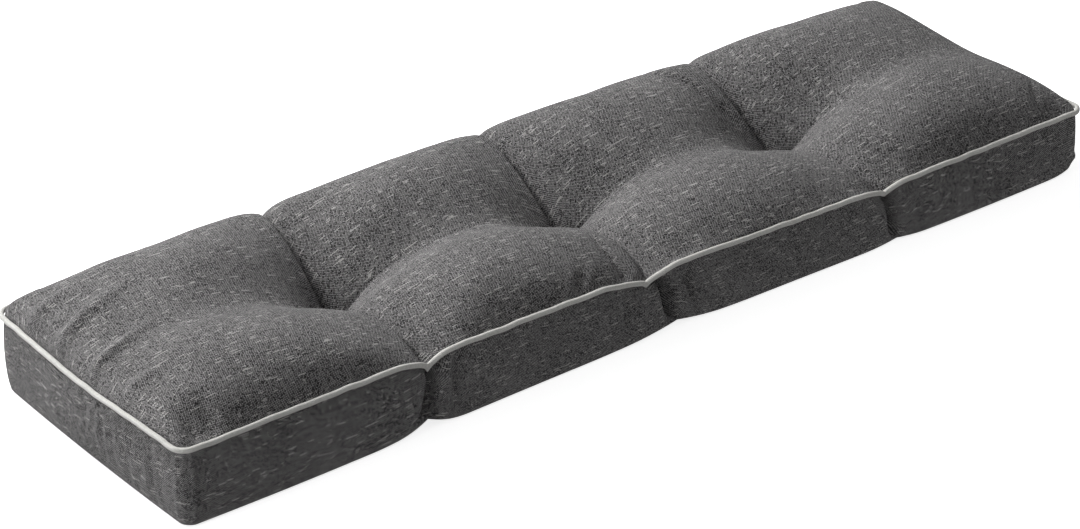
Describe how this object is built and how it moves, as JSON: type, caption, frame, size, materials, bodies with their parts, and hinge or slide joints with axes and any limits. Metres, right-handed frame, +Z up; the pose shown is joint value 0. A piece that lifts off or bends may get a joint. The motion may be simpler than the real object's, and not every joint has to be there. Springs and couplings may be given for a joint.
{
  "type": "bench cushion",
  "caption": "Long box cushion for a bench, tufted down its middle, with full lobes, pinched side strips and a contrasting welt round the top seam.",
  "frame": {"origin": "under the middle of the cushion, on the surface that it rests on", "axes": "+X along the cushion, towards the end that is farther away in the picture; -Y towards the long side that faces the viewer; +Z up, out of the tufted face"},
  "size_m": [1.239, 0.3686, 0.1316],
  "materials": {
    "cover": "matte dark grey melange plain weave with light slubs",
    "welt": "matte off-white plain weave over a round cord"
  },
  "bodies": {
    "root": {"cushion_body": "cover", "welt": "welt"}
  },
  "joints": []
}
